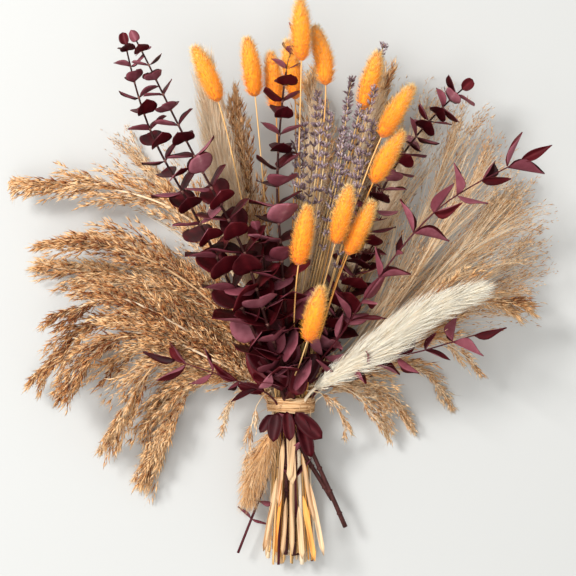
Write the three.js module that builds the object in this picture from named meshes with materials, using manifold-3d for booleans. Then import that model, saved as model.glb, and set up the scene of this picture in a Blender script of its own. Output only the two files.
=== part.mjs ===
// A tied bouquet of dried flowers, grasses and leaves, lying on its back.
// Millimetres. X runs across, Y from the cut stem ends to the heads and Z up from the surface
// it lies on. Places are given from the middle of the tie, at the height of that surface, and
// the whole bouquet is moved at the end so that its origin is under the middle of its box.
import * as THREE from "three";
import Module from "manifold-3d";
import { mergeVertices } from "three/addons/utils/BufferGeometryUtils.js";

const wasm = await Module();
wasm.setup();

// ---------------------------------------------------------------- driving dimensions

const BUNDLE_HALF_WIDTH = 19.8; // the stems' bundle where it is tied, across
const BUNDLE_HALF_DEPTH = 19; // and from its back to its front
const TIE_CENTRE_HEIGHT = 21.6; // middle of the bundle above the surface
const TIE_LENGTH = 14; // how much of the stems the raffia covers
const TIE_THICKNESS = 2.2;
const FOOT_Y = -142; // where the stems are cut, on average
const FOOT_SPREAD = 1.55; // the feet fan out by this much of their places in the tie
const CUT_UNEVENNESS = 7; // how far a cut end may be above or below the average
const SIDE_GAP = 0.5; // clear space between neighbouring stems in the tie
const CLEARANCE = 0.4; // clear space that touching pieces keep
const EASING_PASSES = 160; // rounds of easing crossing stems apart
const MOST_EASING = 1.5; // how far a round may move a point
const BELOW_TIE_STEPS = 3; // steps in a route from the foot to the tie
const HIDDEN_NECK = 12; // a head begins at least this far above the tie
const FOOT_SQUASH = 0.8; // the feet lie this much flatter than the bundle does in the tie

const STRAW = "#b98d57";
const PALE_STRAW = "#d3b88c";
const CREAM = "#efe6d2";
const BURGUNDY = "#4a1320";
const ORANGE = "#f2962e";
const LAVENDER_GREY = "#8d829a";
const RAFFIA = "#cfa467";

// Leaves grow in opposite pairs, pitch apart, each pair a quarter turn round from the last. width
// is a share of the length, and lift is how far a leaf leans along the stem for each step out.
const ROUND_LEAVES = { length: 32, tipLength: 15, width: 0.92, lift: 0.75, pitch: 24 };
const POINTED_LEAVES = { length: 32, tipLength: 24, width: 0.3, lift: 0.8, pitch: 27 };
const LEAF_THICKNESS = 1.6;
const LEAF_SIDES = 6;
const LEAF_SIZES = [1, 0.75, 0.5]; // shares of its full size that a crowded leaf may have
const FIRST_LEAF_ANGLE = 0.6; // of the lowest pair round its stem, in radians
const QUARTER_TURN = Math.PI / 2;
const SIDES = 5; // of a stem or head, one of them downwards
const TIE_SIDES = 24;

// A kind of stem: its radius at the foot and below the head, the length and radius of its
// head, how many steps its bare part and its head are drawn in, and its colour. Where heads
// or leaves press together, the kind with the higher givesWay is the one dented.
const KINDS = {
  reed: {
    foot: 1.8, neck: 1.1, headLength: 205, headRadius: 12.5, bare: 4, head: 6, colour: STRAW, givesWay: 6,
  },
  grass: {
    foot: 1.1, neck: 0.7, headLength: 150, headRadius: 7.5, bare: 4, head: 5, colour: PALE_STRAW, givesWay: 7,
  },
  pampas: {
    foot: 2.1, neck: 1.6, headLength: 210, headRadius: 16, bare: 4, head: 7, colour: CREAM, givesWay: 5,
  },
  bunny: {
    foot: 0.8, neck: 0.6, headLength: 52, headRadius: 10, bare: 5, head: 5, colour: ORANGE, givesWay: 1,
  },
  lavender: {
    foot: 0.9, neck: 0.7, headLength: 72, headRadius: 5, bare: 5, head: 4, colour: LAVENDER_GREY, givesWay: 2,
  },
  eucalyptus: {
    foot: 2.3, neck: 1, headLength: 0, bare: 9, head: 0, colour: BURGUNDY, givesWay: 3,
    leaves: ROUND_LEAVES, leavesFrom: 14,
  },
  twig: {
    foot: 1.3, neck: 0.7, headLength: 0, bare: 8, head: 0, colour: BURGUNDY, givesWay: 4,
    leaves: POINTED_LEAVES, leavesFrom: 42,
  },
};

const stem = (kind, name, ...way) => ({ ...KINDS[kind], name, way });
const reed = (...spec) => stem("reed", ...spec);
const grass = (...spec) => stem("grass", ...spec);
const pampas = (...spec) => stem("pampas", ...spec);
const bunny = (...spec) => stem("bunny", ...spec);
const lavender = (...spec) => stem("lavender", ...spec);
const eucalyptus = (...spec) => stem("eucalyptus", ...spec);
const twig = (...spec) => stem("twig", ...spec);

// The bundle in rows, from its back, on the surface, to its front, and each row from left to
// right. Every stem lists the places that it passes above the tie, the last one its tip.
const ROWS = [
  {
    height: 5.6,
    stems: [
      reed("reed_plume_left_low", [-84, 87, 12], [-158, 119, 9], [-228, 126, 6]),
      grass("grass_plume_left_back", [-93, 170, 9], [-121, 207, 6], [-163, 247, 4]),
      grass("grass_plume_top_right", [54, 78, 14], [100, 197, 10], [137, 294, 6]),
      grass("grass_plume_right_back", [82, 68, 10], [157, 142, 6], [213, 207, 4]),
      grass("grass_plume_right_low", [92, 50, 10], [175, 114, 6], [236, 156, 4]),
    ],
  },
  {
    height: 9.8,
    stems: [
      { ...reed("reed_plume_hanging_left", [-47, 27, 22], [-88, 32, 24], [-111, -15, 18], [-131, -60, 13]),
        headLength: 150 },
      reed("reed_plume_left_top", [-83, 165, 35], [-137, 192, 42], [-192, 201, 38], [-250, 205, 30]),
      reed("reed_plume_top_middle", [27, 96, 18], [27, 207, 12], [19, 294, 9]),
      grass("grass_plume_right_upper", [73, 78, 30], [127, 187, 40], [164, 274, 36]),
      grass("grass_plume_right_side", [90, 50, 34], [163, 96, 38], [223, 105, 30]),
      grass("grass_plume_hanging_right", [69, 31, 14], [120, 40, 9], [148, -2, 4]),
    ],
  },
  {
    height: 14,
    stems: [
      reed("reed_plume_lower_left", [-60, 32, 36], [-109, 55, 50], [-142, 14, 42], [-168, -33, 26]),
      reed("reed_plume_left_outer", [-83, 50, 34], [-164, 87, 44], [-201, 55, 38], [-232, 30, 30]),
      reed("reed_plume_top_left", [-27, 105, 30], [-37, 187, 46], [-53, 273, 50]),
      reed("reed_plume_top_inner_right", [45, 96, 30], [68, 206, 38], [86, 297, 38]),
      grass("grass_plume_right_high", [81, 69, 40], [144, 168, 52], [189, 241, 48]),
      grass("grass_plume_right_middle", [81, 64, 44], [162, 141, 54], [230, 187, 46]),
      { ...grass("grass_plume_hanging_near", [45, 22, 24], [82, 17, 22], [109, -20, 10]), headLength: 80 },
    ],
  },
  {
    height: 18.2,
    stems: [
      reed("reed_plume_left_front", [-73, 42, 50], [-135, 74, 70], [-175, 56, 64], [-204, 15, 50]),
      reed("reed_plume_left_middle", [-92, 69, 48], [-162, 105, 64], [-210, 78, 56]),
      reed("reed_plume_left_upper", [-83, 105, 40], [-146, 141, 56], [-191, 150, 54], [-219, 148, 50]),
      pampas("pampas_plume_upper_left", [-37, 105, 50], [-59, 194, 78], [-78, 309, 82]),
      eucalyptus("eucalyptus_stem_right", [53, 105, 50], [80, 195, 66], [115, 248, 72], [153, 286, 68]),
      reed("reed_plume_right_front", [85, 51, 58], [150, 105, 74], [206, 92, 58]),
      grass("grass_plume_drooping_right", [72, 42, 50], [125, 69, 56], [171, 34, 36]),
      { ...grass("grass_plume_hanging_inner", [49, 18, 34], [77, 4, 28], [87, -24, 16]), headLength: 60 },
    ],
  },
  {
    height: 22,
    stems: [
      { ...twig("ruscus_twig_right", [22, 20, 34], [48, 72, 78], [91, 136, 108], [128, 179, 122],
        [199, 217, 122]), footPlace: [-49, -138, 18] },
    ],
  },
  {
    height: 24.6,
    stems: [
      lavender("lavender_stem_01", [5, 180, 90], [4, 238, 90]),
      lavender("lavender_stem_02", [11, 194, 86], [12, 256, 86]),
      lavender("lavender_stem_03", [19, 216, 80], [24, 283, 80]),
      lavender("lavender_stem_04", [27, 198, 92], [34, 264, 92]),
      lavender("lavender_stem_05", [42, 230, 70], [55, 297, 70]),
      lavender("lavender_stem_06", [37, 181, 84], [48, 247, 84]),
      lavender("lavender_stem_07", [50, 224, 86], [65, 289, 88]),
      lavender("lavender_stem_08", [57, 248, 76], [73, 310, 76]),
      lavender("lavender_stem_09", [65, 265, 84], [83, 325, 84]),
      lavender("lavender_stem_10", [50, 162, 94], [62, 228, 94]),
      lavender("lavender_stem_11", [60, 194, 72], [75, 257, 72]),
      twig("ruscus_twig_lower_right", [44, 29, 60], [65, 39, 80], [121, 53, 100], [161, 66, 96]),
    ],
  },
  {
    height: 27.1,
    stems: [
      bunny("bunny_tail_01", [-67, 284, 72], [-85, 317, 72]),
      bunny("bunny_tail_02", [-33, 289, 84], [-39, 328, 84]),
      bunny("bunny_tail_03", [-14, 282, 72], [-18, 317, 70]),
      bunny("bunny_tail_04", [4, 285, 98], [-3, 324, 96]),
      bunny("bunny_tail_05", [9, 308, 122], [8, 355, 124]),
      bunny("bunny_tail_06", [31, 301, 104], [20, 335, 104]),
      bunny("bunny_tail_07", [15, 64, 112], [27, 107, 124]),
      bunny("bunny_tail_08", [5, 122, 122], [15, 177, 130]),
      bunny("bunny_tail_09", [39, 149, 112], [51, 195, 118]),
      bunny("bunny_tail_10", [66, 276, 92], [77, 314, 92]),
      bunny("bunny_tail_11", [80, 244, 110], [106, 282, 112]),
      bunny("bunny_tail_12", [74, 206, 106], [98, 243, 108]),
      bunny("bunny_tail_13", [50, 139, 100], [72, 182, 106]),
    ],
  },
  {
    height: 30.6,
    stems: [
      twig("ruscus_twig_lower_left", [-26, 15, 60], [-54, 27, 84], [-80, 36, 90], [-103, 43, 86]),
      eucalyptus("eucalyptus_stem_short", [-14, 70, 78], [-22, 114, 96], [-26, 158, 108]),
      eucalyptus("eucalyptus_stem_middle", [-7, 105, 92], [-9, 149, 102], [-13, 183, 106], [-8, 269, 106],
        [-1, 326, 100]),
      { ...pampas("pampas_plume_front", [33, 24, 66], [76, 61, 98], [128, 92, 106], [167, 105, 102]),
        headLength: 185, headRadius: 17 },
    ],
  },
  {
    height: 35.4,
    stems: [
      { ...eucalyptus("eucalyptus_stem_left_outer", [-25, 52, 80], [-57, 118, 106], [-82, 170, 120],
        [-123, 243, 132], [-142, 316, 134]), footPlace: [39, -88, 26] },
      { ...twig("ruscus_twig_front", [-4, 22, 50]), footPlace: [5, -104, 26], leavesFrom: -62 },
      { ...eucalyptus("eucalyptus_stem_left_inner", [-20, 70, 96], [-40, 140, 116], [-70, 195, 132],
        [-101, 255, 142], [-131, 318, 142]), footPlace: [50, -113, 24] },
    ],
  },
];

// ---------------------------------------------------------------- routes

const rowWidth = (row) => row.stems.reduce((sum, one) => sum + 2 * one.foot + SIDE_GAP, 0);

// A cut end a little above or below the average, and never the same as its neighbour's.
const footY = (index) => FOOT_Y + CUT_UNEVENNESS * Math.sin(index * 2.4);

function placeInTie(row) {
  let left = -rowWidth(row) / 2;
  return row.stems.map((one) => {
    const x = left + one.foot + SIDE_GAP / 2;
    left += 2 * one.foot + SIDE_GAP;
    return new THREE.Vector3(x, 0, row.height);
  });
}

const evenly = (from, to, steps) =>
  Array.from({ length: steps }, (_, i) => from + ((to - from) * (i + 1)) / steps);

// Shares of a stem's length at which its route has a point: evenly spaced below the tie, on
// the bare stem above it, and on the head.
function sharesAlong(one, length, tieShare) {
  const pastTie = tieShare + TIE_LENGTH / length;
  const bareShare = Math.max(1 - one.headLength / length, pastTie + HIDDEN_NECK / length);
  const below = [0, ...evenly(0, tieShare, BELOW_TIE_STEPS)];
  const above = evenly(pastTie, bareShare, one.bare);
  return { shares: [...below, pastTie, ...above, ...evenly(bareShare, 1, one.head)], bareShare };
}

// The radius at a share t of the head's length: a spindle, fullest at two fifths of the way.
function headRadius(one, t) {
  const swell = Math.sin(Math.PI * Math.pow(t, 0.75));
  return Math.max(one.neck * 0.7, one.headRadius * Math.pow(Math.max(swell, 0), 0.7));
}

// A stem runs straight through the tie, and bends from there to its foot and to its tip.
function layOut(one, slot, index) {
  const foot = one.footPlace
    ? new THREE.Vector3(...one.footPlace)
    : new THREE.Vector3(slot.x * FOOT_SPREAD, footY(index), (slot.z - ROWS[0].height) * FOOT_SQUASH);
  const intoTie = slot.clone().setY(-TIE_LENGTH / 2);
  const outOfTie = slot.clone().setY(TIE_LENGTH / 2);
  const way = one.way.map((place) => new THREE.Vector3(...place));
  const curve = new THREE.CatmullRomCurve3([foot, intoTie, outOfTie, ...way], false, "centripetal");
  const length = curve.getLength();
  const tieShare = foot.distanceTo(intoTie) / length;
  const { shares, bareShare } = sharesAlong(one, length, tieShare);
  const route = shares.map((share) => curve.getPointAt(share));
  const coreRadii = shares.map((share) => THREE.MathUtils.lerp(one.foot, one.neck, share));
  const fullRadii = shares.map((share, i) => (share > bareShare
    ? Math.max(headRadius(one, (share - bareShare) / (1 - bareShare)), coreRadii[i] * 0.7)
    : coreRadii[i]));
  return { ...one, route, coreRadii, fullRadii, tieAt: tieShare * length };
}

// The shortest line between two straight stretches, as a vector from the first to the second.
function betweenStretches(a, b, c, d) {
  const u = b.clone().sub(a);
  const v = d.clone().sub(c);
  const w = a.clone().sub(c);
  const uu = u.dot(u);
  const uv = u.dot(v);
  const vv = v.dot(v);
  const uw = u.dot(w);
  const vw = v.dot(w);
  const spread = uu * vv - uv * uv;
  let s = spread > 1e-9 ? THREE.MathUtils.clamp((uv * vw - vv * uw) / spread, 0, 1) : 0.5;
  const t = THREE.MathUtils.clamp((uv * s + vw) / vv, 0, 1);
  s = THREE.MathUtils.clamp((uv * t - uw) / uu, 0, 1);
  const onFirst = a.clone().addScaledVector(u, s);
  const onSecond = c.clone().addScaledVector(v, t);
  return { line: onSecond.sub(onFirst), s, t };
}

// Adds to both stems' moves what takes them clear of each other, where they touch.
function easePair(first, second) {
  for (let i = 0; i + 1 < first.route.length; i += 1) {
    for (let j = 0; j + 1 < second.route.length; j += 1) {
      const near = first.route[i].distanceTo(second.route[j]);
      const firstStep = first.route[i].distanceTo(first.route[i + 1]);
      const secondStep = second.route[j].distanceTo(second.route[j + 1]);
      const reach = firstStep + secondStep;
      if (near > reach + 6) continue;
      const { line, s, t } = betweenStretches(
        first.route[i], first.route[i + 1], second.route[j], second.route[j + 1]);
      const apart = line.length();
      const wanted = Math.max(first.coreRadii[i], first.coreRadii[i + 1])
        + Math.max(second.coreRadii[j], second.coreRadii[j + 1]) + CLEARANCE;
      if (apart >= wanted) continue;
      const push = apart > 1e-3 ? line.divideScalar(apart) : new THREE.Vector3(0, 0, 1);
      push.multiplyScalar((wanted - apart) * 0.55);
      first.moves[i].addScaledVector(push, -(1 - s));
      first.moves[i + 1].addScaledVector(push, -s);
      second.moves[j].addScaledVector(push, 1 - t);
      second.moves[j + 1].addScaledVector(push, t);
    }
  }
}

// No part of a stem or of its head goes below the surface.
function keepAboveSurface(one) {
  one.route.forEach((point, i) => {
    point.z = Math.max(point.z, Math.max(one.fullRadii[i], one.coreRadii[i]));
  });
}

// The two points of a route that the tie holds in place.
const inTie = (i) => i === BELOW_TIE_STEPS || i === BELOW_TIE_STEPS + 1;

function easeApart(stems) {
  for (let pass = 0; pass < EASING_PASSES; pass += 1) {
    stems.forEach((one) => { one.moves = one.route.map(() => new THREE.Vector3()); });
    stems.forEach((first, i) => stems.slice(i + 1).forEach((second) => easePair(first, second)));
    stems.forEach((one) => {
      one.route.forEach((point, i) => {
        if (!inTie(i)) point.add(one.moves[i].clampLength(0, MOST_EASING));
      });
      keepAboveSurface(one);
    });
  }
}

// ---------------------------------------------------------------- solids

// Two ways across the route at one of its points, the first as near to straight down as it can be.
function frameAt(route, i) {
  const before = route[Math.max(i - 1, 0)];
  const after = route[Math.min(i + 1, route.length - 1)];
  const along = after.clone().sub(before).normalize();
  const down = new THREE.Vector3(0, 0, -1);
  down.addScaledVector(along, -down.dot(along)).normalize();
  const side = along.clone().cross(down);
  return { down, side };
}

function toSolid(geometry) {
  geometry.deleteAttribute("normal");
  geometry.deleteAttribute("uv");
  const merged = mergeVertices(geometry, 1e-4);
  return new wasm.Manifold(new wasm.Mesh({
    numProp: 3,
    vertProperties: new Float32Array(merged.attributes.position.array),
    triVerts: new Uint32Array(merged.index.array),
  }));
}

// A turned body, with one ring for each point of the route, bent to follow it.
function bentBody(route, radii) {
  const last = route.length - 1;
  const rings = radii.map((radius, i) => new THREE.Vector2(radius, i));
  const profile = [new THREE.Vector2(0, 0), ...rings, new THREE.Vector2(0, last)];
  const geometry = new THREE.LatheGeometry(profile, SIDES);
  const frames = route.map((_, i) => frameAt(route, i));
  const place = geometry.attributes.position;
  for (let v = 0; v < place.count; v += 1) {
    const i = Math.round(place.getY(v));
    const { down, side } = frames[i];
    const point = route[i].clone().addScaledVector(side, place.getX(v)).addScaledVector(down, place.getZ(v));
    place.setXYZ(v, point.x, point.y, point.z);
  }
  return toSolid(geometry);
}

// A thin lens with its base on the stem, reaching outward and lying across.
function leafSolid(leaf, growth) {
  const geometry = new THREE.SphereGeometry(1, LEAF_SIDES, 2);
  geometry.scale(leaf.width / 2 + growth, LEAF_THICKNESS / 2 + growth, leaf.length / 2 + growth);
  const normal = leaf.outward.clone().cross(leaf.across).normalize();
  const turn = new THREE.Matrix4().makeBasis(leaf.across, normal, leaf.outward);
  turn.setPosition(leaf.base.clone().addScaledVector(leaf.outward, leaf.length / 2));
  geometry.applyMatrix4(turn);
  return toSolid(geometry);
}

// Two opposite leaves at a share of the stem's length.
function leafPair(one, curve, share, angle) {
  const along = curve.getTangentAt(share);
  const up = new THREE.Vector3(0, 0, 1).addScaledVector(along, -along.z).normalize();
  const side = along.clone().cross(up);
  const length = THREE.MathUtils.lerp(one.leaves.length, one.leaves.tipLength, share);
  return [angle, angle + Math.PI].map((turn) => {
    const out = up.clone().multiplyScalar(Math.sin(turn)).addScaledVector(side, Math.cos(turn));
    const outward = out.clone().addScaledVector(along, one.leaves.lift).normalize();
    const across = along.clone().cross(out).normalize();
    return { base: curve.getPointAt(share), outward, across, length, width: length * one.leaves.width };
  });
}

function leavesOf(one) {
  const curve = new THREE.CatmullRomCurve3(one.route, false, "centripetal");
  const length = curve.getLength();
  const leaves = [];
  let angle = FIRST_LEAF_ANGLE;
  for (let at = one.tieAt + one.leavesFrom; at < length - 4; at += one.leaves.pitch) {
    leaves.push(...leafPair(one, curve, at / length, angle));
    angle += QUARTER_TURN;
  }
  return leaves;
}

function boxesMeet(a, b) {
  return a.min.every((low, k) => low < b.max[k] && b.min[k] < a.max[k]);
}

function meets(solid, other) {
  return boxesMeet(solid.boundingBox(), other.boundingBox()) && !solid.intersect(other).isEmpty();
}

// A leaf is as large as its room allows, and one with no room has been stripped off.
function leavesInRoom(one, neighbours) {
  return leavesOf(one).flatMap((leaf) => {
    const scaled = (size) => ({ ...leaf, length: leaf.length * size, width: leaf.width * size });
    const sizes = LEAF_SIZES.map(scaled);
    const fitting = sizes.find((sized) => {
      const solid = leafSolid(sized, 0);
      return !neighbours.some((other) => meets(solid, other));
    });
    return fitting ? [fitting] : [];
  });
}

const headSolid = (one, growth) => bentBody(one.route, one.fullRadii.map((radius) => radius + growth));

function cutBy(solid, cutters) {
  return cutters.reduce((left, cutter) => (meets(left, cutter) ? left.subtract(cutter) : left), solid);
}

function largestPiece(solid) {
  return solid.decompose().reduce((best, piece) => (piece.volume() > best.volume() ? piece : best));
}

// The raffia: a band round the bundle, open where the stems go through, with its knot in front.
function tieSolid(growth) {
  const inner = BUNDLE_HALF_WIDTH - growth;
  const outer = BUNDLE_HALF_WIDTH + TIE_THICKNESS + growth;
  const half = TIE_LENGTH / 2 + growth;
  const section = [[inner, -half], [outer, -half * 0.8], [outer, half * 0.8], [inner, half], [inner, -half]];
  const band = new THREE.LatheGeometry(section.map(([x, y]) => new THREE.Vector2(x, y)), TIE_SIDES);
  band.scale(1, 1, (BUNDLE_HALF_DEPTH + TIE_THICKNESS) / (BUNDLE_HALF_WIDTH + TIE_THICKNESS));
  band.translate(0, 0, TIE_CENTRE_HEIGHT);
  return toSolid(band);
}

function meshOf(name, solid, colour) {
  const { vertProperties, triVerts } = solid.getMesh();
  const geometry = new THREE.BufferGeometry();
  geometry.setAttribute("position", new THREE.BufferAttribute(new Float32Array(vertProperties), 3));
  geometry.setIndex(new THREE.BufferAttribute(new Uint32Array(triVerts), 1));
  geometry.computeVertexNormals();
  const material = new THREE.MeshStandardMaterial({ color: colour, roughness: 0.85, metalness: 0 });
  const mesh = new THREE.Mesh(geometry, material);
  mesh.name = name;
  return mesh;
}

// ---------------------------------------------------------------- the bouquet

const stems = ROWS.flatMap((row) => {
  const slots = placeInTie(row);
  return row.stems.map((one, i) => layOut(one, slots[i], i + row.height));
});
easeApart(stems);
stems.sort((a, b) => a.givesWay - b.givesWay);

const bareStems = stems.map((one) => bentBody(one.route, one.coreRadii));
const cutters = stems.map((one) => bentBody(one.route, one.coreRadii.map((radius) => radius + CLEARANCE)));
const tieCutter = tieSolid(CLEARANCE);

const bouquet = new THREE.Group();
bouquet.add(meshOf("raffia_tie", tieSolid(0), RAFFIA));

const finished = [tieCutter];
stems.forEach((one, i) => {
  const neighbours = [...cutters.filter((_, k) => k !== i), ...finished];
  if (one.leaves) {
    const leaves = leavesInRoom(one, neighbours);
    const whole = leaves.reduce((sum, leaf) => sum.add(leafSolid(leaf, 0)), bareStems[i]);
    bouquet.add(meshOf(one.name, largestPiece(whole), one.colour));
    finished.push(...leaves.map((leaf) => leafSolid(leaf, CLEARANCE)));
  } else {
    const whole = cutBy(headSolid(one, 0), neighbours).add(bareStems[i]);
    bouquet.add(meshOf(one.name, largestPiece(whole), one.colour));
    finished.push(headSolid(one, CLEARANCE));
  }
});

const box = new THREE.Box3().setFromObject(bouquet);
const middle = box.getCenter(new THREE.Vector3());
bouquet.position.set(-middle.x, -middle.y, -box.min.z);

export default bouquet;
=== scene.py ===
"""A tied bouquet of dried flowers, grasses and leaves, lying on its back and seen from above.

Every cut stem of the CAD model is followed from its foot to its tip, and a detailed stem with its
plume, flower head or leaves is grown along the line found. Lengths are in metres.
"""

import math

import bpy
import numpy as np
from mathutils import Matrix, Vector


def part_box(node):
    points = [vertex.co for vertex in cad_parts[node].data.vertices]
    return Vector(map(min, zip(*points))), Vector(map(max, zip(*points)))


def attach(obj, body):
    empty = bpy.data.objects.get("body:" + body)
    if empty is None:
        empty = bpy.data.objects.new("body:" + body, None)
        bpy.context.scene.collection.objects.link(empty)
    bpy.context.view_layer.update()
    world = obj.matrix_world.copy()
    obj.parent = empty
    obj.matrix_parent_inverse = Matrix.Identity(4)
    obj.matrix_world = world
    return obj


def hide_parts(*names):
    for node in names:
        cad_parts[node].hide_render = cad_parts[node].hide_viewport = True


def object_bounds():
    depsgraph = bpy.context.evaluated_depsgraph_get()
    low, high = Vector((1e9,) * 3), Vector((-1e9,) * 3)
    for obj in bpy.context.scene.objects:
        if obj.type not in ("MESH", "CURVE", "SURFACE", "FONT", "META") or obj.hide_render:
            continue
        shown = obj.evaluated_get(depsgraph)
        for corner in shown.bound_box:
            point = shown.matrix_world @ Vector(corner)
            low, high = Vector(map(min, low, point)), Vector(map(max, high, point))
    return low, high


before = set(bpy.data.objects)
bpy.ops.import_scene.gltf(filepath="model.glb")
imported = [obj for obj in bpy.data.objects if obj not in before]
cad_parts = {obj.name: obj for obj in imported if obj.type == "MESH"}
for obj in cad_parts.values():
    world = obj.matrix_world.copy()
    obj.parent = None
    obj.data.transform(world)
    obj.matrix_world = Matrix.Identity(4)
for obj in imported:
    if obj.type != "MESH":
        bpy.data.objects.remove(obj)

CAD_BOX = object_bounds()
MM = 0.001
TAU = 2 * math.pi

TIE_LOW, TIE_HIGH = (np.array(corner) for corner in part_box("raffia_tie"))
TIE = (TIE_LOW + TIE_HIGH) / 2

# ---------------- the stage

CAMERA_HEIGHT = 1.5
REFERENCE_HEIGHT = 0.06  # the height above the floor at which the view is VIEW_WIDTH wide
VIEW_WIDTH = 0.5184
VIEW_FROM_TIE = (-0.0027, 0.107)  # the middle of the view, from the middle of the tie
SENSOR = 36.0
FLOOR_REACH = 6
FLOOR_COLOUR = (0.52, 0.522, 0.508, 1)
WORLD_COLOUR = (1.0, 0.995, 0.98, 1)
WORLD_LIGHT = 0.62
# The name, place, side and power of each light. They point at the origin.
SOFTBOXES = [
    ("key_light", (-1.5, 0.9, 2.1), 0.7, 68),
    ("top_light", (-0.4, -0.5, 2.6), 1.8, 34),
]


def put(name, data, place=(0, 0, 0)):
    """A new object in the scene."""
    thing = bpy.data.objects.new(name, data)
    thing.location = place
    bpy.context.scene.collection.objects.link(thing)
    return thing


def make_camera():
    camera = bpy.data.cameras.new("camera")
    camera.sensor_width = SENSOR
    camera.lens = SENSOR * CAMERA_HEIGHT / VIEW_WIDTH
    x, y = TIE[0] + VIEW_FROM_TIE[0], TIE[1] + VIEW_FROM_TIE[1]
    bpy.context.scene.camera = put("camera", camera, (x, y, REFERENCE_HEIGHT + CAMERA_HEIGHT))


def make_floor():
    mesh = bpy.data.meshes.new("floor")
    far = FLOOR_REACH
    mesh.from_pydata([(-far, -far, 0), (far, -far, 0), (far, far, 0), (-far, far, 0)], [], [(0, 1, 2, 3)])
    paint = bpy.data.materials.new("floor")
    paint.use_nodes = True
    surface = paint.node_tree.nodes["Principled BSDF"]
    surface.inputs["Base Color"].default_value = FLOOR_COLOUR
    surface.inputs["Roughness"].default_value = 0.9
    mesh.materials.append(paint)
    put("floor", mesh)


def make_lights():
    world = bpy.data.worlds.new("studio")
    world.use_nodes = True
    background = world.node_tree.nodes["Background"]
    background.inputs["Color"].default_value = WORLD_COLOUR
    background.inputs["Strength"].default_value = WORLD_LIGHT
    bpy.context.scene.world = world
    for name, place, side, power in SOFTBOXES:
        light = bpy.data.lights.new(name, "AREA")
        light.size = side
        light.energy = power
        lamp = put(name, light, place)
        lamp.rotation_euler = (-Vector(place)).to_track_quat("-Z", "Y").to_euler()


def make_stage():
    make_camera()
    make_floor()
    make_lights()
    bpy.context.scene.view_settings.view_transform = "Standard"


# ---------------- following the CAD stems

SLICE_STEP = 4 * MM
MOST_SLICES = 400
FOOT_REACH = 4.5 * MM  # corners this close to the lowest one belong to the cut end
WIDER = 2.5  # how many times further the second search of a slice reaches
LOOK_BACK = 6  # the heading follows the last points of the route, this many of them
SMOOTHING = 40


def smooth(points):
    """Averages each point with its two neighbours, over and over. The ends stay."""
    for _ in range(SMOOTHING):
        points[1:-1] = (points[:-2] + 2 * points[1:-1] + points[2:]) / 4


def unit(v):
    return v / np.maximum(np.linalg.norm(v, axis=-1, keepdims=True), 1e-12)


def mesh_edges(node):
    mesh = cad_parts[node].data
    places = np.empty(len(mesh.vertices) * 3)
    mesh.vertices.foreach_get("co", places)
    ends = np.empty(len(mesh.edges) * 2, int)
    mesh.edges.foreach_get("vertices", ends)
    places, ends = places.reshape(-1, 3), ends.reshape(-1, 2)
    return places[ends[:, 0]], places[ends[:, 1]]


def slice_middle(a, b, ahead, heading, reach):
    """The middle of the slice through a stem's edges from a to b, or None beyond its tip."""
    da, db = (a - ahead) @ heading, (b - ahead) @ heading
    cut = da * db < 0
    share = (da[cut] / (da[cut] - db[cut]))[:, None]
    slice_points = a[cut] + (b[cut] - a[cut]) * share
    away = np.linalg.norm(slice_points - ahead, axis=1)
    for limit in (reach, WIDER * reach):
        near = slice_points[away < limit]
        if len(near) >= 3:
            return near.mean(0)
    return None


def follow(node, reach):
    """Points along the middle of a CAD stem, from its cut end to its tip, found by slicing it."""
    a, b = mesh_edges(node)
    corners = np.concatenate([a, b])
    lowest = corners[corners[:, 1].argmin()]
    middle = corners[np.linalg.norm(corners - lowest, axis=1) < FOOT_REACH].mean(0)
    heading = unit(TIE - middle)
    route = [middle]
    for _ in range(MOST_SLICES):
        found = slice_middle(a, b, middle + heading * SLICE_STEP, heading, reach)
        if found is None:
            break
        middle = found
        route.append(middle)
        back = route[max(len(route) - LOOK_BACK, 0)]
        heading = unit(0.4 * heading + 0.6 * unit(middle - back))
    beyond = corners[np.linalg.norm(corners - middle, axis=1) < 3 * SLICE_STEP]
    route.append(beyond[((beyond - middle) @ heading).argmax()])
    route = np.array(route)
    smooth(route)
    return route


class Route:
    """A smooth line, with two ways across it at each point."""

    def __init__(self, points):
        self.points = np.asarray(points, float)
        steps = np.linalg.norm(np.diff(self.points, axis=0), axis=1)
        self.reached = np.concatenate([[0], np.cumsum(steps)])
        self.length = self.reached[-1]
        self.along = unit(np.gradient(self.points, axis=0))
        across = [unit(np.cross(self.along[0], (0, 0, 1.0)))]
        for tangent in self.along[1:]:
            across.append(unit(across[-1] - tangent * (across[-1] @ tangent)))
        self.across = np.array(across)
        self.other = np.cross(self.along, self.across)

    def pick(self, rows, distance):
        columns = [np.interp(distance, self.reached, rows[:, k]) for k in range(3)]
        return np.stack(columns, -1)

    def at(self, distance):
        """Place, way along and two ways across at these distances from the foot."""
        ways = [unit(self.pick(rows, distance)) for rows in (self.along, self.across, self.other)]
        return self.pick(self.points, distance), *ways

    def distance_at_tie(self):
        """Where the stem passes the tie. Its last part isn't searched, as its head may hang down
        beside the tie."""
        searched = self.points[: len(self.points) // 2 + 20, 1]
        return self.reached[np.abs(searched - TIE[1]).argmin()]


def path(*corners, steps=50):
    """A smooth route through corners given in millimetres from the middle of the tie, except that
    heights are from the floor."""
    corners = np.array(corners, float) * MM + np.array([TIE[0], TIE[1], 0])
    spot = np.linspace(0, len(corners) - 1, steps)
    points = np.stack([np.interp(spot, range(len(corners)), corners[:, k]) for k in range(3)], 1)
    smooth(points)
    return Route(points)


def between(first, second, share, raised):
    """A route part of the way from one route to another, with its tip raised."""
    u = np.linspace(0, 1, 90)
    a, b = first.at(u * first.length)[0], second.at(u * second.length)[0]
    points = a + (b - a) * share
    points[:, 2] += raised * u
    return Route(points)


# ---------------- building meshes


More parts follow.
